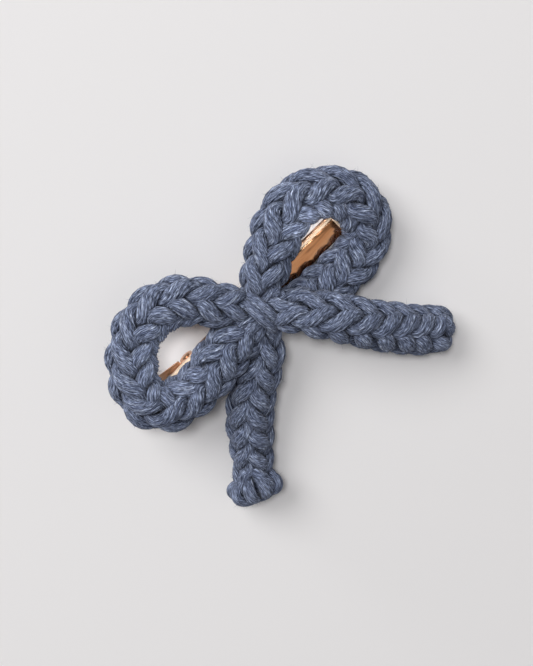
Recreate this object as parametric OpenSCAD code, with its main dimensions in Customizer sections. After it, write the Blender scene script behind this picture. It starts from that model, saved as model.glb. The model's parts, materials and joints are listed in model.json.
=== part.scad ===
// Knitted hair bow on a duckbill clip.
// One knitted cord, three stitches around, makes two loops and two tails. A yarn wrap cinches its
// crossing, and hot glue holds the crossing on the clip's top plate. The lower jaw swings on a pin
// and a torsion spring closes it.
// The bow and the clip are drawn in the clip's own frame: +X runs to the clip's tip, +Z is the top
// plate's outward normal, and z = 0 is the top plate's upper surface. The whole is then pitched so
// that it lies on the lower jaw's tip and on the end of the lower handle.

/* [Clip] */
// Length of the clip from its handle's end to its tip
clip_length = 76; // [68:1:84]
// Width of both jaws
jaw_width = 6.4; // [6.2:0.1:8]
// Height of the closed jaws at the tip
jaw_stack = 4.4; // [4.2:0.1:5.5]
// Thickness of the jaws' sheet metal
sheet = 0.6; // [0.5:0.05:0.7]
// Depth of the top plate's folded edges
top_skirt = 1.4; // [1.2:0.1:1.6]
// Gap between the closed jaws
jaw_gap = 0.5; // [0.45:0.05:0.6]
// Distance from the handle's end to the hinge pin
handle_length = 15.4; // [14:0.2:18]
// Angle of the upper handle above the top plate
upper_handle_rise = 6; // [0:1:8]
// Angle at which the clip lies, tip down
rest_pitch = 5; // [4:0.5:6]

/* [Hinge] */
// Radius of the hinge pin
pin_r = 0.75; // [0.6:0.05:0.9]
// Radius of the ears that hold the pin
ear_r = 2.3; // [2:0.1:2.5]
// Running clearance between the pin and the lower jaw's ears
pin_clearance = 0.05; // [0.02:0.01:0.1]
// Gap between an upper ear and a lower ear
ear_gap = 0.15; // [0.1:0.05:0.2]

/* [Spring] */
// Radius of the spring's wire
wire_r = 0.3; // [0.25:0.05:0.35]
// Mean radius of the spring's coil
coil_r = 1.35; // [1.25:0.05:1.4]
// Turns of the spring's coil
coil_turns = 3; // [2:1:3]

/* [Cord] */
// Half width of the knitted cord
cord_r = 7.3; // [6.5:0.1:7.5]
// Height of the cord as a share of its width
cord_flat = 0.93; // [0.88:0.01:1]
// Half width of the flared cast-on end
flare_r = 8.3; // [7.5:0.1:8.5]

/* [Crossing] */
// Length of the cord's crossing along the clip
crossing_length = 18; // [16:1:20]
// Radius of the crossing under the wrap
waist_r = 6.6; // [6:0.1:7]
// Thickness of the yarn wrap
wrap_depth = 1.4; // [1:0.1:1.8]
// Width of the yarn wrap
wrap_width = 5.4; // [4.5:0.1:6.5]
// Number of turns in the yarn wrap
wrap_turns = 4; // [3:1:6]
// Thickness of the hot glue under the crossing
glue_depth = 1; // [0.6:0.1:1.2]

/* [Hidden] */
$fn = 48;
cut = 0.01;

// The origin is the middle of the bow's footprint.
footprint_mid = [2.35, -10.45];

// Clip
tip_x = 37.1;
tail_x = tip_x - clip_length;
hinge_x = tail_x + handle_length;
half_jaw = jaw_width / 2;
lower_top = -top_skirt - jaw_gap;
lower_depth = jaw_stack + lower_top;
hinge_z = -3.6;
edge_bevel = 0.4;
plate_z = tip_x * sin(rest_pitch) + jaw_stack * cos(rest_pitch);
bend_x = hinge_x - ear_r - 0.6;
handle_end_z = -(plate_z - tail_x * sin(rest_pitch)) / cos(rest_pitch);
handle_start_z = hinge_z - 2;
lower_ear_out = half_jaw - sheet - ear_gap;
lower_ear_in = lower_ear_out - sheet;
tooth_count = 11;
tooth_pitch = 3.2;
tooth_height = 0.35;

// Spring
coil_pitch = 2 * wire_r + 0.06;
coil_half = coil_turns * coil_pitch / 2;
leg_lane = coil_half + coil_pitch;
spring_shift = -coil_pitch / 2;

// Crossing
crossing = [2.2, 1.5, 8.2];
wrap_r = waist_r + wrap_depth;
crossing_end_r = 8.1;

// Routes of the cord, each point [x, y, z, half width].
left_route = [
    [0, 4.6, 10.6, 3.4], [-4.5, 10.2, 9.7, 5.6], [-11, 19.5, 8.5, 7.2], [-18.5, 24.5, 7.5, 7.3],
    [-28, 24, 7, 7.3], [-35, 19.5, 7, 7.3], [-40, 13, 7.4, 7.3], [-42, 5.5, 8.3, 7.3],
    [-35.5, 0, 8.6, 7.3], [-25.5, -1.3, 8.2, 7.3], [-17, -0.5, 8.3, 7], [-8.5, -0.6, 8.2, 5.2],
    [-1, -2.4, 7, 3.4]
];
right_route = [
    [3.6, -2.8, 7, 3.4], [8, -4.6, 6.6, 5.2], [16, -9.3, 4.8, 6.8], [26.5, -11, 4.2, 7.3],
    [35.5, -9.9, 4.4, 7.3], [43, -6, 5, 7.3], [45.5, 3, 6, 7.3], [42.5, 12, 6.5, 7.3],
    [34.5, 17.4, 7, 7.3], [26, 17.4, 7.5, 7.3], [17.5, 13.7, 8.3, 7.2], [9.5, 8.6, 9, 5.8],
    [3.6, 4.8, 10.2, 3.4]
];
right_tail_route = [
    [2.5, 0.5, 10.6, 5], [5, -1.4, 12.6, 6], [10, -6, 14.2, 6.8], [17.2, -16.6, 13.6, 7.1],
    [24, -28.8, 9.6, 7.3], [31.5, -40, 4.8, 7.2], [36.5, -46.6, 2.2, 7]
];
bound_off_route = [
    [36.5, -46.6, 2.2, 7], [37.7, -48.1, 2, 6.6], [38.9, -49.6, 1.8, 5.2]
];
lower_tail_route = [
    [0.5, -1.5, 7.6, 4.6], [-2, -4.6, 7, 5], [-6, -9.2, 6, 6.2], [-13.6, -15.2, 3.2, 7],
    [-21.2, -21.7, 0.5, 7.2], [-27.3, -29.4, -2, 7], [-32.8, -36.8, -3.8, 6.7]
];
cast_on_route = [
    [-32.8, -36.8, -3.8, 6.7], [-34.8, -39.4, -3.2, flare_r - 0.5], [-37, -42.2, -3, flare_r],
    [-39, -44.7, -3.4, 6.6]
];

module seat() {
    translate([-footprint_mid[0], -footprint_mid[1], plate_z]) rotate([0, rest_pitch, 0]) children();
}

// Catmull-Rom curve through a route's points
function route_point(p, i) =
    i < 0 ? 2 * p[0] - p[1] :
    i > len(p) - 1 ? 2 * p[len(p) - 1] - p[len(p) - 2] : p[i];
function blend(a, b, c, d, t) =
    0.5 * (2 * b + (c - a) * t + (2 * a - 5 * b + 4 * c - d) * t * t
        + (3 * b - 3 * c + d - a) * t * t * t);
function along(p, n) = [
    for (i = [0 : len(p) - 2]) for (k = [0 : n - 1])
        blend(route_point(p, i - 1), p[i], p[i + 1], route_point(p, i + 2), k / n),
    p[len(p) - 1]
];
function place(q) = [q[0], q[1], q[2]];
function unit(v) = v / norm(v);
function heading(q, i) =
    unit(place(q[min(i + 1, len(q) - 1)]) - place(q[max(i - 1, 0)]));
function ring(c, t, rx, rz, up, sides) =
    let (side = unit(cross(up, t)), lift = cross(t, side))
    [for (j = [0 : sides - 1]) let (a = 360 * (j + 0.5) / sides)
        c + side * rx * cos(a) + lift * rz * sin(a)];
function tube_faces(rings, sides) = concat(
    [[for (j = [sides - 1 : -1 : 0]) j]],
    [for (i = [0 : rings - 2]) for (j = [0 : sides - 1])
        let (a = i * sides + j, b = i * sides + (j + 1) % sides) each
        [[a, b, b + sides], [a, b + sides, a + sides]]],
    [[for (j = [0 : sides - 1]) (rings - 1) * sides + j]]
);

// A closed tube along a route
module cord(route, steps = 3, sides = 12) {
    q = along(route, steps);
    points = [for (i = [0 : len(q) - 1])
        each ring(place(q[i]), heading(q, i), q[i][3], q[i][3] * cord_flat, [0, 0, 1], sides)];
    polyhedron(points, tube_faces(len(q), sides), convexity = 6);
}

// A round wire through a list of points in planes across Y
module wire(q) {
    sides = 8;
    points = [for (i = [0 : len(q) - 1])
        each ring(q[i], unit(q[min(i + 1, len(q) - 1)] - q[max(i - 1, 0)]),
            wire_r, wire_r, [0, 1, 0], sides)];
    polyhedron(points, tube_faces(len(q), sides), convexity = 6);
}

module yarn() color([0.35, 0.40, 0.50]) children();
module gold() color([0.80, 0.60, 0.45]) children();
module steel() color([0.62, 0.62, 0.64]) children();

module left_loop() yarn() seat() cord(left_route);
module right_loop() yarn() seat() cord(right_route);
module right_tail() yarn() seat() cord(right_tail_route);
module lower_tail() yarn() seat() cord(lower_tail_route);
module bound_off_end() yarn() seat() cord(bound_off_route, 2);
module cast_on_end() yarn() seat() cord(cast_on_route, 2);

// Keeps what lies above the glue
module above_glue() {
    difference() {
        children();
        translate([-30, -30, -20]) cube([60, 60, 20 + glue_depth]);
    }
}

// The crossing, waisted under the wrap
module knot_core() {
    half = crossing_length / 2;
    steps = 12;
    outline = [for (i = [0 : steps]) let (t = 2 * i / steps - 1)
        [waist_r + (crossing_end_r - waist_r) * t * t, half * t]];
    yarn() seat() above_glue()
        translate(crossing) rotate([0, 90, 0]) rotate_extrude()
            difference() {
                polygon(concat([[0, -half]], outline, [[0, half]]));
                translate([waist_r, -wrap_width / 2]) square([wrap_depth, wrap_width]);
            }
}

// The wrap's turns, side by side round the crossing
module centre_wrap() {
    turn_r = wrap_width / wrap_turns / 2;
    crown = 6;
    outline = [for (i = [0 : wrap_turns - 1]) for (k = [0 : crown])
        let (a = 180 * k / crown - 90)
        [wrap_r - turn_r + turn_r * cos(a), turn_r * ((2 * i + 1 - wrap_turns) + sin(a))]];
    yarn() seat() above_glue()
        translate(crossing) rotate([0, 90, 0]) rotate_extrude()
            polygon(concat([[waist_r, -wrap_width / 2]], outline, [[waist_r, wrap_width / 2]]));
}

// Stitches over the wrap's end, low on the side away from the tails
module wrap_tack() {
    stitch_r = 0.35;
    stitch_length = 3.6;
    color([0.30, 0.34, 0.44]) seat()
        for (a = [-36, -46, -56])
            translate(crossing) rotate([a, 0, 0])
                translate([-stitch_length / 2, wrap_r + stitch_r, 0])
                    rotate([0, 90, 0]) cylinder(r = stitch_r, h = stitch_length);
}

module glue_layer()
    color([0.93, 0.91, 0.84]) seat()
        translate([crossing[0] - 7.5, -2.7, 0]) cube([15, 5.4, glue_depth]);

// Section of the top plate, bevelled outside and open below
module top_section() {
    inner = half_jaw - sheet;
    polygon([
        [-half_jaw, -top_skirt], [-half_jaw, -edge_bevel], [-half_jaw + edge_bevel, 0],
        [half_jaw - edge_bevel, 0], [half_jaw, -edge_bevel], [half_jaw, -top_skirt],
        [inner, -top_skirt], [inner, -sheet], [-inner, -sheet], [-inner, -top_skirt]
    ]);
}

// Section of the lower jaw, bevelled outside and open above
module lower_section(half) {
    inner = half - sheet;
    polygon([
        [-half, lower_top], [-half, -jaw_stack + edge_bevel], [-half + edge_bevel, -jaw_stack],
        [half - edge_bevel, -jaw_stack], [half, -jaw_stack + edge_bevel], [half, lower_top],
        [inner, lower_top], [inner, -jaw_stack + sheet], [-inner, -jaw_stack + sheet],
        [-inner, lower_top]
    ]);
}

// Runs a section drawn in Y and Z along X from x0 to x1
module run(x0, x1)
    translate([x0, 0, 0]) rotate([90, 0, 90]) linear_extrude(x1 - x0) children();

// A plate standing in the XZ plane between two distances from the middle, on both sides
module cheeks(from, to)
    for (s = [-1, 1])
        translate([0, s > 0 ? to : -from, 0]) rotate([90, 0, 0]) linear_extrude(to - from) children();

module upper_jaw() {
    gold() seat() {
        difference() {
            union() {
                run(bend_x, tip_x) top_section();
                translate([tip_x - sheet, -half_jaw + edge_bevel, -top_skirt])
                    cube([sheet, jaw_width - 2 * edge_bevel, top_skirt - edge_bevel]);
                translate([bend_x, 0, 0]) rotate([0, upper_handle_rise, 0])
                    mirror([1, 0, 0]) run(-0.1, bend_x - tail_x) top_section();
                cheeks(half_jaw - sheet, half_jaw) {
                    union() {
                        translate([hinge_x, hinge_z]) circle(ear_r);
                        translate([hinge_x - ear_r, hinge_z])
                            square([2 * ear_r, -hinge_z - edge_bevel]);
                    }
                }
            }
            translate([hinge_x, 0, hinge_z]) rotate([90, 0, 0])
                cylinder(r = pin_r, h = 2 * jaw_width, center = true);
        }
    }
}

module tooth_row() {
    for (i = [0 : tooth_count - 1])
        translate([tip_x - 2.4 - i * tooth_pitch, lower_top])
            polygon([[-0.8, -0.1], [0, tooth_height], [0.8, -0.1]]);
}

module lower_jaw() {
    bill_x = hinge_x + ear_r + 3;
    handle_x = hinge_x - ear_r - 0.4;
    drop = atan2(handle_start_z - handle_end_z, handle_x - tail_x);
    handle_run = norm([handle_x - tail_x, handle_start_z - handle_end_z]);
    brace_x = 6;
    brace_z = handle_end_z + tan(drop) * brace_x;
    gold() seat() {
        difference() {
            union() {
                run(bill_x, tip_x) lower_section(half_jaw);
                translate([tip_x - sheet, -half_jaw + edge_bevel, -jaw_stack + edge_bevel])
                    cube([sheet, jaw_width - 2 * edge_bevel, lower_depth - edge_bevel]);
                cheeks(half_jaw - sheet, half_jaw - 0.1) tooth_row();
                run(hinge_x + ear_r + 0.2, bill_x + 0.5) lower_section(lower_ear_out);
                cheeks(lower_ear_in, lower_ear_out) {
                    union() {
                        translate([hinge_x, hinge_z]) circle(ear_r);
                        translate([hinge_x, -jaw_stack])
                            square([bill_x + 0.5 - hinge_x, lower_depth]);
                        polygon([
                            [hinge_x, hinge_z + 1], [hinge_x, hinge_z - ear_r],
                            [handle_x, handle_start_z + 0.1],
                            [tail_x + brace_x, brace_z + 0.1],
                            [tail_x + brace_x, brace_z + sheet]
                        ]);
                    }
                }
                translate([handle_x, 0, handle_start_z]) rotate([0, -drop, 0])
                    translate([-handle_run, -half_jaw, 0]) cube([handle_run, jaw_width, sheet]);
            }
            translate([hinge_x, 0, hinge_z]) rotate([90, 0, 0])
                cylinder(r = pin_r + pin_clearance, h = 2 * jaw_width, center = true);
        }
    }
}

module hinge_pin() {
    head_r = pin_r + 0.5;
    head_h = 0.35;
    gold() seat() translate([hinge_x, 0, hinge_z]) rotate([90, 0, 0]) {
        cylinder(r = pin_r, h = jaw_width + 0.02, center = true);
        for (s = [-1, 1])
            translate([0, 0, s * (half_jaw + head_h / 2)])
                cylinder(r = head_r, h = head_h, center = true);
    }
}

// A point on the coil: angle a from +X towards +Z, at the lane y
function on_coil(a, y) =
    [hinge_x + coil_r * cos(a), y + spring_shift, hinge_z + coil_r * sin(a)];

// The coil, with the leg that presses up under the top plate
module clip_spring() {
    leg = 9;
    per_turn = 14;
    steps = coil_turns * per_turn;
    coil = [for (i = [0 : steps]) on_coil(90 - 360 * i / per_turn, -coil_half + coil_pitch * i / per_turn)];
    first = coil[0];
    steel() seat() wire(concat(
        [[first[0] - leg, first[1], first[2] + 0.9], [first[0] - 0.8, first[1], first[2] + 0.1]],
        coil));
}

// The leg that presses down on the lower handle, from the coil's other end
module spring_leg() {
    leg = 9.6;
    leave = 120;
    steps = 12;
    turn = [for (i = [0 : steps]) on_coil(leave - 270 + 270 * i / steps, leg_lane)];
    ahead = [-sin(leave), 0, cos(leave)];
    steel() seat() wire(concat(turn, [for (d = [1, leg]) turn[steps] + d * ahead]));
}

left_loop();
right_loop();
right_tail();
lower_tail();
cast_on_end();
bound_off_end();
knot_core();
centre_wrap();
wrap_tack();
glue_layer();
upper_jaw();
lower_jaw();
hinge_pin();
clip_spring();
spring_leg();
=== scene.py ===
"""Knitted hair bow on a rose-gold duckbill clip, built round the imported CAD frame.

The pieces are drawn in the clip's own frame, in millimetres: +X runs to the clip's tip, +Z is the
top plate's normal, and z = 0 is its upper surface. seat() takes them to the row's frame, in metres.
"""
import json
import math

import bmesh
import bpy
import numpy as np
from mathutils import Matrix, Vector


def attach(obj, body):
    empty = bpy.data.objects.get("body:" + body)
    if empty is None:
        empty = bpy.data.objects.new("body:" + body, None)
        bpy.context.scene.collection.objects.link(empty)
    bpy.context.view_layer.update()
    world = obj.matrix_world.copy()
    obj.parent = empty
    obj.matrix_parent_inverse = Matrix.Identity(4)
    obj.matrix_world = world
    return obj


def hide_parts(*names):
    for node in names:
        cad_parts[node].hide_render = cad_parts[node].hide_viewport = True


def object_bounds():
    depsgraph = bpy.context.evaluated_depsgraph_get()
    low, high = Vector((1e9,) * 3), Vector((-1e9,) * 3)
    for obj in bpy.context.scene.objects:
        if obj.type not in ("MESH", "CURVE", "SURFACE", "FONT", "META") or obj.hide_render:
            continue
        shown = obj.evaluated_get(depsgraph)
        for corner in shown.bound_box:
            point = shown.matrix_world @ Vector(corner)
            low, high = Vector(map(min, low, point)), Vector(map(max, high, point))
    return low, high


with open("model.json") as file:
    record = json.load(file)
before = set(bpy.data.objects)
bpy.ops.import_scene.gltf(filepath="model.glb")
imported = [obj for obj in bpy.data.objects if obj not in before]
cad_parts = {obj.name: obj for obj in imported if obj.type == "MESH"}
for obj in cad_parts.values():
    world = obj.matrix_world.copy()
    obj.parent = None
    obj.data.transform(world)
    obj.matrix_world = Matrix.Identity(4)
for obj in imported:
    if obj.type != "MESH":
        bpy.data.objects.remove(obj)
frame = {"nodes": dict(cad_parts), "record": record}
cad_low, cad_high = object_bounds()

ROOT = "bow_and_top_jaw"
LOWER = "lower_jaw_body"
MM = 0.001
SEED = 7

# The clip's own frame, from the hinge and the slope of the lower jaw's flat underside
HINGE = np.array([-23.5, 0.0, -3.6])
MOUNTS = {m["name"]: m for m in frame["record"]["mounts"]}
JOINT = frame["record"]["behaviour"]["joints"][0]
DOWN = MOUNTS["jaw_underside"]["axis"]
PITCH = math.atan2(-DOWN[0], -DOWN[2])
TURN = np.array(Matrix.Rotation(PITCH, 3, "Y"))
ORIGIN = np.array(JOINT["pos_m"]) - TURN @ HINGE * MM

# Clip
TIP_X = 37.1
TIP_ROUND = 0.6
SHEET = 0.6
RIVET = [(0.02, -3.56), (0.55, -3.54), (0.98, -3.46), (1.2, -3.34), (1.25, -3.2), (0.75, -3.19)]
# Where the painted cream highlight on the clip's tip and upper +Y edge starts and where it is full,
# on each axis
HIGHLIGHT_BANDS = {"X": (36.0, 36.4), "Y": (2.35, 2.6), "Z": (-1.5, -1.3)}
# How far the top plate falls at each y, and the stretch of x over which that sets in
CROWN_Y = (-3.2, 1.4, 2.0, 2.4, 3.2)
CROWN_DROP = (-0.2, 0.2, 0.33, 0.45, 1.15)
CROWN_X = (-14, -4)
# Metals: pale and deep colour, least and greatest roughness
PLATE_GOLD = ((0.95, 0.50, 0.26), (0.84, 0.39, 0.18), 0.08, 0.18)
# The lower jaw and rivet: the top plate's rose gold, rougher, and made paler as a painted highlight
SATIN_LIT_GOLD = ((1.0, 0.66, 0.44), (0.92, 0.54, 0.33), 0.30, 0.42)
STEEL = ((0.60, 0.60, 0.62), (0.46, 0.46, 0.48), 0.22, 0.36)
# Painted highlight: the cream colour, roughness and metallic given to the clip's tip and upper +Y
# edge
HIGHLIGHT_CREAM = (1.0, 0.78, 0.58)
HIGHLIGHT_ROUGHNESS = 0.38
HIGHLIGHT_METALLIC = 0.25

# Knitting. Each stitch has two fat legs on the cord's face, which meet in a head inside it.
COLUMNS = 3
ROUND_PITCH = 7.5
STITCH_STEPS = 34
CORD_R = 7.3
CORD_FLAT = 0.93
LEG_R, HEAD_R = 5.65, 2.3
LEG_REACH = 6.2
LEG_ARCH = 0.7
LEG_SWING = math.radians(38)
LEG_WIDE, LEG_DEEP = 2.5, 1.95
HEAD_WIDE, HEAD_DEEP = 1.15, 1.1
# How far hand knitting strays, as a share or in radians or millimetres
UNEVEN = {"swing": 0.10, "reach": 0.08, "angle": 0.09, "along": 0.35, "radius": 0.18,
          "plump": 0.07}

# Yarn
PLIES = 12
PLY_SIDES = 3
PLY_DEPTH = 0.20
PLY_SWELL = 0.05
PLY_TWIST = 0.13
# How far the painted shade in the gaps between strands reaches, in millimetres
GAP_SHADE_REACH = 2.5

# Loose fibres
FIBRES_PER_MM = 3.2
FIBRE_FACING = 0.15
FIBRE_SHORTEST = 0.35
FIBRE_CURL = 0.55
FIBRE_ROOT = 0.12
FIBRE_RADII = (0.034, 0.030, 0.020)
FIBRE_SIDES = 3

# Routes of the cord, each point [x, y, z, half width, roll of the stitches in degrees]
LEFT_LOOP = [
    [2, 3.2, 9.6, 4.6, -15], [-4.3, 9.9, 9.6, 6.5, -14], [-11, 19.1, 8.5, 7.4, -15],
    [-18.3, 23.4, 7.5, 7.8, -21], [-27.4, 22.8, 7, 7.8, -16], [-34.0, 18.6, 7, 7.7, -4],
    [-38.7, 12.6, 7.4, 7.7, 5], [-40.8, 5.7, 8.3, 7.6, 17], [-35.7, -0.7, 8.6, 7.6, 20],
    [-25.5, -2.4, 8.3, 7.6, 21], [-17, -0.8, 8.6, 8.0, 21], [-8.5, 0.0, 8.8, 7.4, 21],
    [0, -0.8, 8.4, 4.8, 21]
]
RIGHT_LOOP = [
    [2, -1.2, 7.6, 4.6, 55], [8, -4.4, 6.2, 5.9, 55], [16, -8.9, 3.4, 7.3, 56],
    [26.5, -10.2, 2.9, 8.0, 56], [35.2, -9.5, 3.3, 7.8, 56], [42.0, -5.6, 4.6, 7.8, 52],
    [44.2, 2.8, 6.3, 8.1, 37], [41.3, 10.8, 6.8, 8.2, 21], [33.7, 16.0, 7.3, 8.2, 9],
    [26.0, 15.9, 7.7, 8.2, -1], [18, 12.8, 8.4, 7.9, -11], [9.5, 8, 9, 7.0, -18],
    [3, 3.5, 9.4, 4.6, -17]
]
RIGHT_TAIL = [
    [1.5, 1.2, 10.4, 5, 18], [5.4, -1.6, 11.4, 5.8, 16], [10.4, -6.4, 13.6, 7.1, 19],
    [17.2, -16.6, 13.6, 7.6, 37], [24, -28.6, 9.8, 7.8, 50], [31.5, -39.8, 5.4, 7.8, 60],
    [35.5, -45.2, 3.6, 7.5, 63], [36.6, -46.8, 3.5, 7.2, 62]
]
LOWER_TAIL = [
    [0.5, -1.5, 7.6, 5, -15], [-2, -4.6, 7, 5.8, -15], [-6, -9.2, 6, 6.8, -18],
    [-13.6, -15.2, 3.2, 7.2, -19], [-21.2, -21.7, 0.5, 7.3, -17], [-27.3, -29.4, -2, 7.1, -15],
    [-32.8, -36.8, -3.2, 6.2, -14], [-35, -39.6, -2.6, 6.6, -13]
]
CAST_ON = [[-37, -42.2, -2.2, 7.6, -13], [-39, -44.7, -2.2, 7.4, -13]]

# How each stretch is knitted: the length left bare before its end, the way its stitches point
# and how much they crowd together towards its end
KNITTING = {
    "left_loop": (0.0, -1, 0.0),
    "right_loop": (0.0, -1, 0.0),
    "right_tail": (3.0, -1, 0.16),
    "lower_tail": (4.5, 1, 0.0)
}

# Strands that fold over an end, each point (place past the end, radius, outward along the cord)
CAST_ON_FOLD = [
    (-7.1, 2.6, -0.3), (-5.8, 5.0, -0.3), (-3.8, 6.6, 0), (-2.0, 6.4, 0.5), (-1.0, 4.2, 1.5),
    (-1.1, 1.6, 1.5), (-3.4, 0.4, 0.5)
]
BOUND_OFF_FOLD = [
    (-5.5, 3.4, -0.5), (-3.6, 5.5, 0), (-1.4, 5.9, 0), (0.6, 5.0, 0.8), (1.3, 2.8, 1.5),
    (1.0, 0.6, 1.5), (-1.5, 0.2, 0.5)
]

# Crossing
CROSSING = np.array([2.2, 1.5, 8.2])
GLUE_DEPTH = 1

# Pleated cord inside the crossing
KNOT_STRANDS = 9
KNOT_HALF = 8.0
KNOT_WAIST, KNOT_FLARE = 3.9, 1.1
KNOT_TWIST = 0.5
KNOT_WIDE, KNOT_DEEP = 2.3, 2.0
KNOT_BOTTOM = 3.3

# Wrap and the stitches that hold it
WRAP_TURNS = 2
WRAP_START = math.radians(-46)
WRAP_R = 7.4
WRAP_STEP = 2.6
WRAP_WIDE, WRAP_DEEP = 1.6, 1.0
WRAP_TUCK = 1.6
WRAP_UNEVEN = 0.12
TACK_ANGLES = (-36, -46, -56)
TACK_HALF = 2.6
TACK_CLEAR, TACK_DIP = 0.25, 1.3
THREAD_R = 0.3

# Glue, each ring (share of the full outline, height)
GLUE_HALF_X, GLUE_HALF_Y = 7.6, 2.75
GLUE_RINGS = [
    (0.05, -0.02), (0.93, -0.02), (1.0, 0.18), (1.03, 0.5), (0.98, 0.85), (0.85, 1.05), (0.05, 1.1)
]

# Spring
WIRE_R = 0.3
COIL_R = 1.35
COIL_TURNS = 3
COIL_PITCH = 2 * WIRE_R + 0.06
COIL_HALF = COIL_TURNS * COIL_PITCH / 2
UPPER_LEG, UPPER_LEG_START, UPPER_LEG_RISE = 9, 0.8, 0.8
LOWER_LEG, LOWER_LEG_START = 9.6, 0.3
LOWER_LEG_LEAVES = 120
ACROSS_COIL = (0, 1, 0.01)


def seat(points):
    """Takes points in the clip's frame, in millimetres, to the row's frame, in metres."""
    return np.asarray(points) @ TURN.T * MM + ORIGIN


# ---------------------------------------------------------------- camera, floor and light

# Camera: its distance in metres, the height that it sees and the middle of its view
VIEW_LEAN = math.radians(20)
VIEW_DISTANCE = 0.55
VIEW_HEIGHT = 198.468
VIEW_MIDDLE = (4.5, -6.6)
# The clip's axis in the view: its share across and its share up
ACROSS, UPWARD = 0.709, 0.705
SENSOR = 36

# Each light: name, direction (right, up, back) in the view, distance and size in metres, power,
# colour. The card stands where the top plate mirrors it to the camera.
LIGHTS = [
    ("top", (-0.08, 0.07, 1.0), 2.2, 0.4, 21, (1.0, 0.99, 0.98)),
    ("key", (-0.45, 0.30, 0.90), 2.4, 1.4, 40, (1.0, 0.985, 0.96)),
    ("window", (-0.70, 0.55, 0.42), 2.4, 0.7, 10, (1.0, 0.99, 0.97)),
    ("card", (0.3526, -0.3546, 0.866), 2.0, 1.0, 0.5, (1.0, 0.92, 0.85)),
    ("fill", (0.5, -0.4, 0.8), 2.2, 3.0, 4.5, (0.95, 0.97, 1.0))
]
# Each beam: name, point in the loop's hole, power, cone in degrees
BEAMS = [("left_hole", (-28, 10.4, 8), 5.8, 2.8), ("right_hole", (30, 7.0, 6), 11, 2.0)]
BEAM_REACH, BEAM_SIZE = 0.5, 0.004
SKY_LOW, SKY_HIGH = (0.95, 0.95, 0.97), (0.42, 0.38, 0.35)
SKY_STRENGTH = 0.20
FLOOR_HALF = 1.5


def make_camera():
    """Leans from the clip's normal towards +Y, with the clip's axis rising to the upper right.
    Gives back the view's directions and the camera's place."""
    x, y, n = TURN[:, 0], TURN[:, 1], TURN[:, 2]
    lift = math.cos(VIEW_LEAN) * y - math.sin(VIEW_LEAN) * n
    back = math.sin(VIEW_LEAN) * y + math.cos(VIEW_LEAN) * n
    right = ACROSS * x - UPWARD * lift
    up = UPWARD * x + ACROSS * lift
    aim = ORIGIN + (VIEW_MIDDLE[0] * right + VIEW_MIDDLE[1] * up) * MM
    data = bpy.data.cameras.new("camera")
    data.sensor_width = SENSOR
    data.lens = SENSOR * VIEW_DISTANCE / (VIEW_HEIGHT * MM)
    data.clip_start, data.clip_end = 0.01, 20
    camera = bpy.data.objects.new("camera", data)
    bpy.context.scene.collection.objects.link(camera)
    place = Matrix.Identity(4)
    for i in range(3):
        place[i][0], place[i][1], place[i][2] = right[i], up[i], back[i]
        place[i][3] = aim[i] + back[i] * VIEW_DISTANCE
    camera.matrix_world = place
    bpy.context.scene.camera = camera
    return right, up, back, aim + back * VIEW_DISTANCE


def add_light(name, kind, place, heading, power):
    """A light that shines along heading. Its data take the settings of its kind."""
    data = bpy.data.lights.new(name, kind)
    data.energy = power
    light = bpy.data.objects.new(name, data)
    bpy.context.scene.collection.objects.link(light)
    light.location = place
    light.rotation_mode = "QUATERNION"
    light.rotation_quaternion = Vector(heading).to_track_quat("-Z", "Y")
    return data


def make_light(right, up, back, eye):
    """A small light near the camera, a broad key from the left, a window, a card and a weak fill.
    A narrow soft beam goes through each loop's hole to the floor. The sky is darker overhead."""
    for name, (across, above, behind), distance, size, power, colour in LIGHTS:
        place = ORIGIN + (across * right + above * up + behind * back) * distance
        data = add_light(name, "AREA", place, ORIGIN - place, power)
        data.shape = "DISK"
        data.size = size
        data.color = colour
    for name, hole, power, cone in BEAMS:
        target = seat(hole)
        place = target + unit(eye - target) * BEAM_REACH
        data = add_light(name, "SPOT", place, target - eye, power)
        data.spot_size = math.radians(cone)
        data.spot_blend = 1.0
        data.shadow_soft_size = BEAM_SIZE
    world = bpy.data.worlds.new("studio")
    world.use_nodes = True
    nodes, links = world.node_tree.nodes, world.node_tree.links
    nodes.clear()
    coords = nodes.new("ShaderNodeTexCoord")
    split = nodes.new("ShaderNodeSeparateXYZ")
    shade = nodes.new("ShaderNodeBackground")
    shade.inputs["Strength"].default_value = SKY_STRENGTH
    out = nodes.new("ShaderNodeOutputWorld")
    links.new(coords.outputs["Generated"], split.inputs[0])
    sky = ramp_node(world.node_tree, split.outputs["Z"], [(0.1, SKY_LOW), (0.95, SKY_HIGH)])
    links.new(sky, shade.inputs["Color"])
    links.new(shade.outputs[0], out.inputs[0])
    bpy.context.scene.world = world
    bpy.context.scene.view_settings.view_transform = "Standard"


def make_floor():
    corners = [(x * FLOOR_HALF, y * FLOOR_HALF, cad_low[2])
               for x, y in ((-1, -1), (1, -1), (1, 1), (-1, 1))]
    mesh = bpy.data.meshes.new("floor")
    mesh.from_pydata(corners, [], [(0, 1, 2, 3)])
    floor = bpy.data.objects.new("floor", mesh)
    bpy.context.scene.collection.objects.link(floor)
    material = bpy.data.materials.new("pale_floor")
    material.use_nodes = True
    shader = material.node_tree.nodes["Principled BSDF"]
    shader.inputs["Base Color"].default_value = (0.80, 0.795, 0.81, 1)
    shader.inputs["Roughness"].default_value = 0.9
    shader.inputs["Specular IOR Level"].default_value = 0.1
    mesh.materials.append(material)


# ---------------------------------------------------------------- materials

def new_material(name):
    material = bpy.data.materials.new(name)
    material.use_nodes = True
    tree = material.node_tree
    return material, tree, tree.nodes["Principled BSDF"]


def ramp_node(tree, source, stops):
    ramp = tree.nodes.new("ShaderNodeValToRGB")
    elements = ramp.color_ramp.elements
    while len(elements) < len(stops):
        elements.new(0.5)
    for element, (position, colour) in zip(elements, stops):
        element.position = position
        element.color = (*colour, 1)
    tree.links.new(source, ramp.inputs["Fac"])
    return ramp.outputs["Color"]


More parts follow.
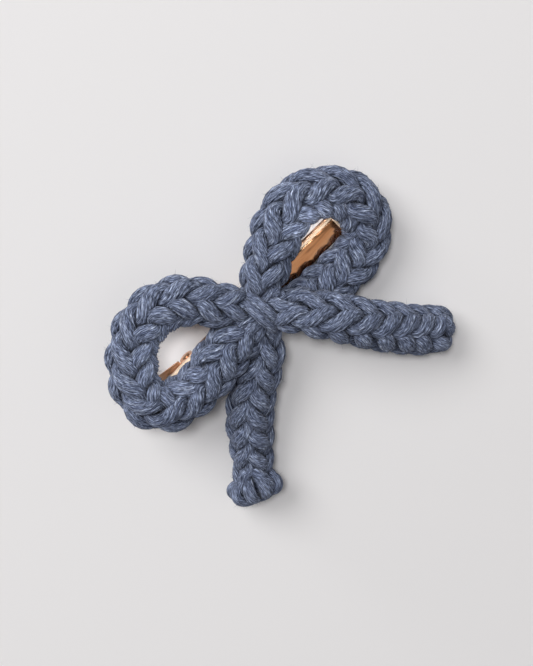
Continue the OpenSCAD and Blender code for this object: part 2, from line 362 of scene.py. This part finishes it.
def strand_noise(tree, along, around, detail):
    """Noise drawn out along a strand. The map's u is length in centimetres, v the turn round it."""
    uv = tree.nodes.new("ShaderNodeUVMap")
    uv.uv_map = "strand"
    mapping = tree.nodes.new("ShaderNodeMapping")
    mapping.inputs["Scale"].default_value = (along, around, 1)
    noise = tree.nodes.new("ShaderNodeTexNoise")
    noise.inputs["Scale"].default_value = 1.0
    noise.inputs["Detail"].default_value = detail
    noise.inputs["Roughness"].default_value = 0.6
    tree.links.new(uv.outputs[0], mapping.inputs["Vector"])
    tree.links.new(mapping.outputs[0], noise.inputs["Vector"])
    return noise.outputs["Fac"]


def mix_node(tree, blend, amount, first, second):
    mix = tree.nodes.new("ShaderNodeMix")
    mix.data_type = "RGBA"
    mix.blend_type = blend
    mix.inputs["Factor"].default_value = amount
    tree.links.new(first, mix.inputs["A"])
    tree.links.new(second, mix.inputs["B"])
    return mix.outputs["Result"]


def yarn_material(name):
    """Heather cotton: dark, mid and pale fibres side by side in each strand, with painted shade in
    the gaps between strands.
    """
    material, tree, shader = new_material(name)
    plies = strand_noise(tree, 1.8, 18, 3)
    fibres = strand_noise(tree, 7, 60, 4)
    heather = ramp_node(tree, plies, [
        (0.30, (0.050, 0.062, 0.106)), (0.45, (0.098, 0.119, 0.184)),
        (0.58, (0.145, 0.172, 0.250)), (0.74, (0.285, 0.325, 0.420))
    ])
    fine = ramp_node(tree, fibres, [
        (0.36, (0.10, 0.11, 0.14)), (0.50, (0.90, 0.90, 0.92)), (0.64, (3.2, 3.2, 3.1))
    ])
    shade = mix_node(tree, "MULTIPLY", 0.9, heather, fine)
    # Painted shade: ambient occlusion darkens the yarn's colour in the gaps between strands and
    # plies
    occlusion = tree.nodes.new("ShaderNodeAmbientOcclusion")
    occlusion.samples = 4
    occlusion.inputs["Distance"].default_value = GAP_SHADE_REACH * MM
    gap_shade = ramp_node(tree, occlusion.outputs["AO"], [(0.2, (0.12, 0.13, 0.16)), (0.72, (1, 1, 1))])
    tree.links.new(mix_node(tree, "MULTIPLY", 1.0, shade, gap_shade), shader.inputs["Base Color"])
    shader.inputs["Roughness"].default_value = 0.95
    shader.inputs["Specular IOR Level"].default_value = 0.12
    shader.inputs["Sheen Weight"].default_value = 0.2
    shader.inputs["Sheen Roughness"].default_value = 0.5
    shader.inputs["Sheen Tint"].default_value = (0.75, 0.82, 1.0, 1)
    bump = tree.nodes.new("ShaderNodeBump")
    bump.inputs["Strength"].default_value = 0.8
    bump.inputs["Distance"].default_value = 0.0003
    tree.links.new(fibres, bump.inputs["Height"])
    tree.links.new(bump.outputs[0], shader.inputs["Normal"])
    return material


def fibre_material():
    """Single loose fibres, a little paler than the strands."""
    material, tree, shader = new_material("loose_fibre")
    shade = ramp_node(tree, object_noise(tree, 900, 2), [
        (0.35, (0.09, 0.105, 0.155)), (0.65, (0.26, 0.30, 0.39))
    ])
    tree.links.new(shade, shader.inputs["Base Color"])
    shader.inputs["Roughness"].default_value = 0.8
    return material


def object_noise(tree, scale, detail, stretch=(1, 1, 1)):
    coords = tree.nodes.new("ShaderNodeTexCoord")
    mapping = tree.nodes.new("ShaderNodeMapping")
    mapping.inputs["Scale"].default_value = stretch
    noise = tree.nodes.new("ShaderNodeTexNoise")
    noise.inputs["Scale"].default_value = scale
    noise.inputs["Detail"].default_value = detail
    tree.links.new(coords.outputs["Object"], mapping.inputs["Vector"])
    tree.links.new(mapping.outputs[0], noise.inputs["Vector"])
    return noise.outputs["Fac"]


def edge_highlight(tree):
    """Rises from 0 to 1 over the clip's tip and its upper +Y edge, where a cream highlight is
    painted.
    """
    coords = tree.nodes.new("ShaderNodeTexCoord")
    clip = tree.nodes.new("ShaderNodeMapping")
    clip.inputs["Rotation"].default_value = (0, -PITCH, 0)
    clip.inputs["Location"].default_value = -TURN.T @ ORIGIN
    split = tree.nodes.new("ShaderNodeSeparateXYZ")
    tree.links.new(coords.outputs["Object"], clip.inputs["Vector"])
    tree.links.new(clip.outputs[0], split.inputs[0])
    rise = []
    for axis, (low, high) in HIGHLIGHT_BANDS.items():
        reach = tree.nodes.new("ShaderNodeMapRange")
        reach.inputs["From Min"].default_value = low * MM
        reach.inputs["From Max"].default_value = high * MM
        tree.links.new(split.outputs[axis], reach.inputs["Value"])
        rise.append(reach.outputs[0])
    return join_values(tree, "MAXIMUM", rise[0], join_values(tree, "MINIMUM", rise[1], rise[2]))


def join_values(tree, operation, first, second):
    node = tree.nodes.new("ShaderNodeMath")
    node.operation = operation
    tree.links.new(first, node.inputs[0])
    tree.links.new(second, node.inputs[1])
    return node.outputs[0]


def cover(tree, amount, under, colour):
    mix = tree.nodes.new("ShaderNodeMix")
    mix.data_type = "RGBA"
    mix.inputs["B"].default_value = (*colour, 1)
    tree.links.new(amount, mix.inputs["Factor"])
    tree.links.new(under, mix.inputs["A"])
    return mix.outputs["Result"]


def metal_material(name, pale, deep, low, high, highlight_colour=None):
    """Plated metal with fine drawn lines, slightly clouded gloss and darker streaks along x, a
    painted reflection. Its edges may be given a painted cream highlight in the colour passed in."""
    material, tree, shader = new_material(name)
    # Painted reflection: the colour clouds between pale and deep, with darker streaks drawn out
    # along x that stand in for the dark yarn and room mirrored in the metal
    cloud = object_noise(tree, 300, 3, (0.14, 1.6, 1.6))
    dark_streak = tuple(0.55 * c for c in deep)
    colour = ramp_node(tree, cloud, [(0.38, dark_streak), (0.47, deep), (0.62, pale)])
    gloss = ramp_node(tree, object_noise(tree, 400, 3), [(0.3, (low,) * 3), (0.7, (high,) * 3)])
    if highlight_colour:
        # Painted highlight: cream, rougher and less metallic over the tip and the upper +Y edge
        lit_edge = edge_highlight(tree)
        colour = cover(tree, lit_edge, colour, highlight_colour)
        gloss = cover(tree, lit_edge, gloss, (HIGHLIGHT_ROUGHNESS,) * 3)
        edge_metallic = tree.nodes.new("ShaderNodeMapRange")
        edge_metallic.inputs["To Min"].default_value = 1.0
        edge_metallic.inputs["To Max"].default_value = HIGHLIGHT_METALLIC
        tree.links.new(lit_edge, edge_metallic.inputs["Value"])
        tree.links.new(edge_metallic.outputs[0], shader.inputs["Metallic"])
    else:
        shader.inputs["Metallic"].default_value = 1.0
    tree.links.new(colour, shader.inputs["Base Color"])
    tree.links.new(gloss, shader.inputs["Roughness"])
    lines = object_noise(tree, 600, 2, (0.06, 1, 1))
    bump = tree.nodes.new("ShaderNodeBump")
    bump.inputs["Strength"].default_value = 0.15
    bump.inputs["Distance"].default_value = 0.0002
    tree.links.new(lines, bump.inputs["Height"])
    tree.links.new(bump.outputs[0], shader.inputs["Normal"])
    return material


def glue_material():
    material, tree, shader = new_material("hot_glue")
    milk = ramp_node(tree, object_noise(tree, 300, 3), [
        (0.3, (0.74, 0.71, 0.60)), (0.7, (0.90, 0.88, 0.80))
    ])
    tree.links.new(milk, shader.inputs["Base Color"])
    shader.inputs["Roughness"].default_value = 0.35
    shader.inputs["Transmission Weight"].default_value = 0.25
    return material


# ---------------------------------------------------------------- cord geometry

def catmull(points, steps=24):
    """Points of a Catmull-Rom curve through the rows of points."""
    p = np.array(points, float)
    p = np.vstack([2 * p[0] - p[1], p, 2 * p[-1] - p[-2]])
    t = np.linspace(0, 1, steps, endpoint=False)[:, None]
    out = []
    for a, b, c, d in zip(p, p[1:], p[2:], p[3:]):
        out.append(0.5 * (2 * b + (c - a) * t + (2 * a - 5 * b + 4 * c - d) * t ** 2
                          + (3 * b - 3 * c + d - a) * t ** 3))
    return np.vstack([*out, p[-2:-1]])


def unit(v):
    return v / np.linalg.norm(v, axis=-1, keepdims=True)


def gradient(v, s):
    return np.stack([np.gradient(v[:, i], s) for i in range(v.shape[1])], axis=1)


class Core:
    """The cord's middle line with its width, roll and upright frame, by length along it."""

    def __init__(self, route):
        q = catmull(route)
        step = np.linalg.norm(np.diff(q[:, :3], axis=0), axis=1)
        self.s = np.concatenate([[0], np.cumsum(step)])
        self.length = self.s[-1]
        self.line = q[:, :3]
        self.wide = q[:, 3]
        self.roll = np.radians(q[:, 4])
        self.heading = unit(gradient(self.line, self.s))
        self.side = unit(np.cross([0, 0, 1], self.heading))
        self.lift = np.cross(self.heading, self.side)

    def at(self, s, values):
        if values.ndim == 1:
            return np.interp(s, self.s, values)
        return np.stack([np.interp(s, self.s, values[:, i]) for i in range(values.shape[1])], 1)

    def place(self, s, angle, radius):
        """Points at an angle from the top of the cord, with the outward direction and the cord's
        scale there. Past the line's ends they run straight on."""
        scale = self.at(s, self.wide) / CORD_R
        turn = angle + self.at(s, self.roll)
        side, lift = self.at(s, self.side), self.at(s, self.lift)
        over = np.clip(s, 0, self.length) - s
        line = self.at(s, self.line) - self.at(s, self.heading) * over[:, None]
        out = side * np.sin(turn)[:, None] + lift * np.cos(turn)[:, None] * CORD_FLAT
        return line + out * (radius * scale)[:, None], unit(out), scale


def wander(rng, t, period, size):
    """A smooth random curve along t, with one new value in each period."""
    knots = np.arange(t.min() - period, t.max() + 2 * period, period)
    values = rng.uniform(-size, size, len(knots))
    place = (t - knots[0]) / period
    i = np.clip(place.astype(int), 0, len(knots) - 2)
    f = place - i
    f = f * f * (3 - 2 * f)
    return values[i] * (1 - f) + values[i + 1] * f


def knit(core, end, forward, crowd, rng):
    """One strand knitted round and round the core. Its stitches point along the core, or back
    along it if forward is -1, and crowd together towards the core's end."""
    lap = 2 * math.pi
    rounds = end / ROUND_PITCH
    t = np.linspace(0, lap * COLUMNS * rounds, int(STITCH_STEPS * COLUMNS * rounds))

    def stray(what, period=lap):
        return wander(rng, t, period, UNEVEN[what])

    swing = LEG_SWING * (1 + stray("swing"))
    reach = LEG_REACH * (1 + stray("reach"))
    angle = -math.pi / COLUMNS + t / COLUMNS + swing * np.sin(2 * t) + stray("angle")
    q = ROUND_PITCH * t / (lap * COLUMNS) - reach * np.cos(t) + stray("along")
    s = q if forward > 0 else end - q
    s = s * (1 + crowd) - crowd * s ** 2 / end
    front = 0.5 - 0.5 * np.cos(2 * t)
    radius = HEAD_R + (LEG_R - HEAD_R) * front ** LEG_ARCH + stray("radius")
    points, out, scale = core.place(s, angle, radius)
    plump = 1 + stray("plump", lap / 2)
    wide = (HEAD_WIDE + (LEG_WIDE - HEAD_WIDE) * front) * plump * scale
    deep = (HEAD_DEEP + (LEG_DEEP - HEAD_DEEP) * front) * plump * scale
    return points, out, wide, deep


def loft(rings, uv=None):
    """A mesh part through rings of points, (rings, sides, 3), capped at both ends."""
    n, sides = rings.shape[:2]
    i, j = (g.ravel() for g in np.meshgrid(np.arange(n - 1), np.arange(sides), indexing="ij"))
    k = (j + 1) % sides
    quads = np.stack([i * sides + j, i * sides + k, (i + 1) * sides + k, (i + 1) * sides + j], 1)
    caps = [np.arange(sides)[::-1], np.arange(sides) + (n - 1) * sides]
    corners = None
    if uv is not None:
        u, v = uv
        corners = np.stack([u[i], v[j], u[i], v[j + 1], u[i + 1], v[j + 1], u[i + 1], v[j]], 1)
    return rings.reshape(-1, 3), quads, caps, corners


def make_piece(name, parts, material):
    """One object from parts, each (points, quads, other faces, corner maps or None)."""
    verts, quads, others, corners, base = [], [], [], [], 0
    for points, four, many, uv in parts:
        verts.append(points)
        quads.append(four + base)
        others += [list(np.asarray(face) + base) for face in many]
        corners.append(uv)
        base += len(points)
    mesh = bpy.data.meshes.new(name)
    mesh.from_pydata(seat(np.vstack(verts)), [], np.vstack(quads).tolist() + others)
    mesh.polygons.foreach_set("use_smooth", np.ones(len(mesh.polygons), bool))
    if corners[0] is not None:
        flat = np.zeros(len(mesh.loops) * 2, np.float32)
        given = np.concatenate([c.ravel() for c in corners])
        flat[:len(given)] = given
        mesh.uv_layers.new(name="strand").data.foreach_set("uv", flat)
    mesh.materials.append(material)
    piece = bpy.data.objects.new(name, mesh)
    bpy.context.scene.collection.objects.link(piece)
    return piece


def own(piece, nodes=(), body=ROOT):
    """Puts a piece on its body and in place of the CAD nodes it shows."""
    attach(piece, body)
    if nodes:
        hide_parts(*nodes)


def lengths(points):
    return np.concatenate([[0], np.cumsum(np.linalg.norm(np.diff(points, axis=0), axis=1))])


def strand_axes(points, out):
    run = lengths(points)
    heading = unit(gradient(points, run + np.arange(len(points)) * 1e-9))
    across = unit(np.cross(heading, out))
    return run, heading, across, np.cross(across, heading)


def yarn_rings(points, out, wide, deep, rng):
    """Rings round a plied strand. The plies keep their own vertices and twist along it."""
    run, _, across, up = strand_axes(points, out)
    sides = PLIES * PLY_SIDES
    around = np.linspace(0, 2 * math.pi, sides, endpoint=False)
    turn = around[None, :] + PLY_TWIST * run[:, None]
    groove = np.tile([PLY_DEPTH] + [0.0] * (PLY_SIDES - 1), PLIES)
    swell = np.stack([wander(rng, run, 5, PLY_SWELL) for _ in range(PLIES)], 1)
    bulge = 1 - groove[None, :] + np.repeat(swell, PLY_SIDES, axis=1)
    x = np.cos(turn) * bulge * wide[:, None]
    y = np.sin(turn) * bulge * deep[:, None]
    rings = points[:, None] + across[:, None] * x[..., None] + up[:, None] * y[..., None]
    v = np.linspace(0, 1, sides + 1) + rng.uniform(0, 50)
    return rings, (run / 10, v)


def yarn_piece(name, node, strands, material, rng):
    """One piece from strands, each (points, outward directions, half widths, half depths). Gives
    back the strands' skins, for the fibres that stand off them."""
    parts, skins = [], []
    for points, out, wide, deep in strands:
        rings, uv = yarn_rings(points, out, wide, deep, rng)
        parts.append(loft(rings, uv))
        skins.append((rings, points, out))
    own(make_piece(name, parts, material), [node])
    return skins


def wire_part(points, radius, sides=12, side_hint=(0, 1, 0)):
    """A round wire with softly rounded ends."""
    run, heading, across, up = strand_axes(points, np.tile(side_hint, (len(points), 1)))
    left = np.minimum(run, run[-1] - run)
    r = radius * np.sqrt(np.clip(1 - (1 - np.clip(left / radius, 0, 1)) ** 2, 0.02, 1))
    a = np.linspace(0, 2 * math.pi, sides, endpoint=False)
    rings = (points[:, None] + across[:, None] * (np.cos(a) * r[:, None])[..., None]
             + up[:, None] * (np.sin(a) * r[:, None])[..., None])
    v = np.linspace(0, 1, sides + 1)
    return loft(rings, (run / 10, v))


def fuzz(name, skins, material, rng):
    """Loose fibres standing off the outer faces of the strands, none of them below the floor."""
    roots, normals, along = [], [], []
    for rings, points, out in skins:
        run, heading, _, _ = strand_axes(points, out)
        normal = unit(rings - points[:, None])
        outward = np.einsum("rsk,rk->rs", normal, out)
        rows, cols = np.nonzero(outward > FIBRE_FACING)
        pick = rng.integers(0, len(rows), int(FIBRES_PER_MM * run[-1]))
        roots.append(rings[rows[pick], cols[pick]])
        normals.append(normal[rows[pick], cols[pick]])
        along.append(heading[rows[pick]])
    roots, normals, along = np.vstack(roots), np.vstack(normals), np.vstack(along)
    n = len(roots)
    size = rng.gamma(2.0, 0.4, (n, 1)) + FIBRE_SHORTEST
    lean = unit(normals * rng.uniform(0.25, 1.0, (n, 1)) + along * rng.normal(0, 1.1, (n, 1))
                + rng.normal(0, 0.35, (n, 3)))
    curl = rng.normal(0, FIBRE_CURL, (n, 3))
    steps = [roots - normals * FIBRE_ROOT]
    direction = lean
    for _ in range(3):
        steps.append(steps[-1] + direction * size / 3)
        direction = unit(direction + curl * 0.7)
    side = unit(np.cross(lean, rng.normal(0, 1, (n, 3))))
    other = np.cross(lean, side)
    rows, sides = len(FIBRE_RADII), FIBRE_SIDES
    verts = np.empty((n, rows * sides + 1, 3))
    for row, radius in enumerate(FIBRE_RADII):
        for k in range(sides):
            a = 2 * math.pi * k / sides
            around = (side * math.cos(a) + other * math.sin(a)) * radius
            verts[:, row * sides + k] = steps[row] + around
    verts[:, -1] = steps[3]
    quads = [[row * sides + k, row * sides + (k + 1) % sides,
              (row + 1) * sides + (k + 1) % sides, (row + 1) * sides + k]
             for row in range(rows - 1) for k in range(sides)]
    last = (rows - 1) * sides
    tips = [[last + k, last + (k + 1) % sides, rows * sides] for k in range(sides)]
    low = seat(verts.reshape(-1, 3))[:, 2].reshape(n, -1).min(axis=1)
    verts = verts[low > cad_low[2]]
    offset = (np.arange(len(verts)) * verts.shape[1])[:, None, None]
    quads = (np.array(quads)[None] + offset).reshape(-1, 4)
    tips = (np.array(tips)[None] + offset).reshape(-1, 3).tolist()
    own(make_piece(name, [(verts.reshape(-1, 3), quads, tips, None)], material))


def end_folds(core, profile, rng, count, first, lean, wide, deep, uneven, slant):
    """Fat strands that fold over the cord's end, side by side round it."""
    strands = []
    q = catmull(profile, 10)
    t = np.linspace(0, 1, len(q))
    for i in range(count):
        angle = first + 2 * math.pi * i / count + lean * rng.choice((-1, 1)) * (t - 0.5)
        s = core.length + q[:, 0] + rng.uniform(-uneven, uneven) - slant * np.sin(angle)
        points, out, scale = core.place(s, angle, q[:, 1] * rng.uniform(0.94, 1.04))
        centre = core.at(np.clip(s, 0, core.length), core.line)
        away = unit(points - centre + core.at(s, core.heading) * q[:, 2:])
        plump = (0.80 + 0.20 * np.sin(math.pi * t)) * rng.uniform(0.93, 1.06)
        strands.append((points, away, wide * plump * scale, deep * plump * scale))
    return strands


def round_crossing(along, radius, angle):
    """Points round the crossing's axis, and the outward direction there."""
    around = np.stack([0 * angle, np.cos(angle), np.sin(angle)], 1)
    return CROSSING + np.stack([along, radius * around[:, 1], radius * around[:, 2]], 1), around


def on_tip(place):
    """True on the top plate's upper edge at the tip."""
    x, _, z = (np.array(place) - ORIGIN) @ TURN / MM
    return abs(x - TIP_X) < 0.01 and z > -0.01


def crown(work):
    """Lets the top plate fall away towards +Y in wide facets, in front of the crossing."""
    cuts = [((0, y, 0), TURN[:, 1]) for y in CROWN_Y[1:-1]]
    cuts += [((x, 0, 0), TURN[:, 0]) for x in CROWN_X]
    for place, normal in cuts:
        bmesh.ops.bisect_plane(work, geom=work.verts[:] + work.edges[:] + work.faces[:],
                               plane_co=Vector(seat(place)), plane_no=Vector(normal))
    lift = Vector(TURN[:, 2])
    for v in work.verts:
        x, y, z = (np.array(v.co) - ORIGIN) @ TURN / MM
        if z > -SHEET - 0.05:
            share = np.interp(x, CROWN_X, (0, 1))
            v.co -= lift * share * np.interp(y, CROWN_Y, CROWN_DROP) * MM


def softened(node, name, material, body, width):
    """A jaw's own CAD shape with its sharp sheet edges rounded over. The top plate also gets a
    rounded upper edge at the tip and its crown."""
    piece = bpy.data.objects.new(name, frame["nodes"][node].data.copy())
    bpy.context.scene.collection.objects.link(piece)
    piece.matrix_world = frame["nodes"][node].matrix_world
    mesh = piece.data
    work = bmesh.new()
    work.from_mesh(mesh)
    bmesh.ops.remove_doubles(work, verts=work.verts, dist=0.002 * MM)
    bmesh.ops.dissolve_limit(work, angle_limit=math.radians(1), verts=work.verts, edges=work.edges)
    rim = [e for e in work.edges if all(on_tip(v.co) for v in e.verts)]
    bmesh.ops.bevel(work, geom=rim, offset=TIP_ROUND * MM, segments=5, profile=0.5, affect="EDGES")
    crown(work)
    work.to_mesh(mesh)
    work.free()
    mesh.materials.clear()
    mesh.materials.append(material)
    mesh.polygons.foreach_set("use_smooth", np.ones(len(mesh.polygons), bool))
    bevel = piece.modifiers.new("round", "BEVEL")
    bevel.width = width * MM
    bevel.segments = 3
    bevel.limit_method = "ANGLE"
    bevel.angle_limit = math.radians(25)
    bevel.harden_normals = True
    own(piece, [node], body)


def on_coil(a, y):
    """Points on the spring's coil at an angle in degrees and a place along the pin."""
    a = np.radians(a)
    return np.stack([HINGE[0] + COIL_R * np.cos(a), y + 0 * a - COIL_PITCH / 2,
                     HINGE[2] + COIL_R * np.sin(a)], 1)


# ---------------------------------------------------------------- assembly

yarn = yarn_material("heather_yarn")
thread = yarn_material("sewing_thread")
fibre = fibre_material()
# Painted highlight: the same rose gold as the top plate, made paler for the lower jaw and the rivet
satin_lit_gold = metal_material("rose_gold", *SATIN_LIT_GOLD)
# The top jaw's gold, with a painted cream highlight on its tip and upper +Y edge
highlit_gold = metal_material("rose_gold_painted_highlight", *PLATE_GOLD, highlight_colour=HIGHLIGHT_CREAM)
steel = metal_material("spring_steel", *STEEL)
glue = glue_material()
rng = np.random.default_rng(SEED)
make_light(*make_camera())
make_floor()

# Cord
cores = {
    "left_loop": Core(LEFT_LOOP),
    "right_loop": Core(RIGHT_LOOP),
    "right_tail": Core(RIGHT_TAIL),
    "lower_tail": Core(LOWER_TAIL + CAST_ON)
}
skins = {}
for name, (bare, forward, crowd) in KNITTING.items():
    strand = knit(cores[name], cores[name].length - bare, forward, crowd, rng)
    skins[name] = yarn_piece(name + "_knit", name, [strand], yarn, rng)

strands = end_folds(cores["lower_tail"], CAST_ON_FOLD, rng, count=9, first=math.radians(30),
                    lean=0.6, wide=1.9, deep=1.8, uneven=0.9, slant=1.0)
ends = yarn_piece("cast_on_knit", "cast_on_end", strands, yarn, rng)
strands = end_folds(cores["right_tail"], BOUND_OFF_FOLD, rng, count=5, first=math.radians(-30),
                    lean=-0.8, wide=2.6, deep=2.0, uneven=0.4, slant=0.0)
ends += yarn_piece("bound_off_knit", "bound_off_end", strands, yarn, rng)

# Crossing: the pleated cord inside, the wrap round it and the stitches that hold the wrap
strands = []
t = np.linspace(-1, 1, 30)
for i in range(KNOT_STRANDS):
    spread = (KNOT_WAIST + KNOT_FLARE * t ** 2) * rng.uniform(0.95, 1.05)
    angle = 2 * math.pi * i / KNOT_STRANDS + KNOT_TWIST * t
    points, out = round_crossing(KNOT_HALF * t, spread, angle)
    points[:, 2] = np.maximum(points[:, 2], KNOT_BOTTOM)
    strands.append((points, out, np.full(len(t), KNOT_WIDE), np.full(len(t), KNOT_DEEP)))
knot = yarn_piece("knot_knit", "knot_core", strands, yarn, rng)

t = np.linspace(0, 1, 220)
ease = np.clip(np.minimum(t, 1 - t) * 14, 0, 1)
radius = WRAP_R - WRAP_TUCK * (1 - ease) ** 2 + wander(rng, t * 20, 2, WRAP_UNEVEN)
angle = WRAP_START + 2 * math.pi * WRAP_TURNS * t
points, out = round_crossing(WRAP_STEP * WRAP_TURNS * (t - 0.5), radius, angle)
points[:, 2] = np.maximum(points[:, 2], GLUE_DEPTH + WRAP_DEEP)
wrap = (points, out, np.full(len(t), WRAP_WIDE), np.full(len(t), WRAP_DEEP))
ends += yarn_piece("wrap_yarn", "centre_wrap", [wrap], yarn, rng) + knot

parts = []
t = np.linspace(-1, 1, 24)
for degrees in TACK_ANGLES:
    angle = math.radians(degrees + rng.uniform(-3, 3)) + 0.05 * t
    radius = WRAP_R + WRAP_DEEP + TACK_CLEAR - TACK_DIP * np.abs(t) ** 3
    parts.append(wire_part(round_crossing(TACK_HALF * t, radius, angle)[0], THREAD_R))
own(make_piece("thread_stitches", parts, thread), ["wrap_tack"])

for name in KNITTING:
    fuzz(name + "_fuzz", skins[name], fibre, rng)
fuzz("ends_fuzz", ends, fibre, rng)

# Hot glue squeezed out under the crossing
a = np.linspace(0, 2 * math.pi, 72, endpoint=False)
blob = 1 + 0.05 * np.sin(3 * a + 1) + 0.04 * np.sin(5 * a + 2) + 0.02 * np.sin(9 * a)
c, s = np.cos(a), np.sin(a)
square = (np.abs(c) ** 4 + np.abs(s) ** 4) ** -0.25 * 0.75 + 0.25
rings = [np.stack([CROSSING[0] + GLUE_HALF_X * share * blob * square * c,
                   GLUE_HALF_Y * share * blob * square * s, np.full(len(a), z)], 1)
         for share, z in GLUE_RINGS]
own(make_piece("glue_bead", [loft(np.array(rings))], glue), ["glue_layer"])

# Clip
softened("upper_jaw", "upper_jaw_metal", highlit_gold, ROOT, 0.14)
softened("lower_jaw", "lower_jaw_metal", satin_lit_gold, LOWER, 0.12)

a = np.linspace(0, 2 * math.pi, 40, endpoint=False)
rings = [np.stack([HINGE[0] + r * np.cos(a), np.full(len(a), y), HINGE[2] + r * np.sin(a)], 1)
         for r, y in RIVET + [(r, -y) for r, y in reversed(RIVET)]]
own(make_piece("hinge_rivet", [loft(np.array(rings))], satin_lit_gold), ["hinge_pin"])

# Spring: its coil with the upper leg, then the lower leg with the turn that it leaves
i = np.linspace(0, COIL_TURNS, COIL_TURNS * 40 + 1)
coil = on_coil(90 - 360 * i, -COIL_HALF + COIL_PITCH * i)
reach = np.linspace(UPPER_LEG, UPPER_LEG_START, 60)[:, None]
rise = UPPER_LEG_RISE * (reach - UPPER_LEG_START) / (UPPER_LEG - UPPER_LEG_START)
leg = coil[0] + np.hstack([-reach, 0 * reach, 0.1 + rise])
wire = wire_part(np.vstack([leg, coil]), WIRE_R, side_hint=ACROSS_COIL)
own(make_piece("spring_coil", [wire], steel), ["clip_spring"])
turn = on_coil(np.linspace(LOWER_LEG_LEAVES - 270, LOWER_LEG_LEAVES, 40), COIL_HALF + COIL_PITCH)
leaves = math.radians(LOWER_LEG_LEAVES)
ahead = np.array([-math.sin(leaves), 0, math.cos(leaves)])
leg = turn[-1] + np.linspace(LOWER_LEG_START, LOWER_LEG, 60)[:, None] * ahead
wire = wire_part(np.vstack([turn, leg]), WIRE_R, side_hint=ACROSS_COIL)
own(make_piece("spring_lower_leg", [wire], steel), ["spring_leg"], LOWER)
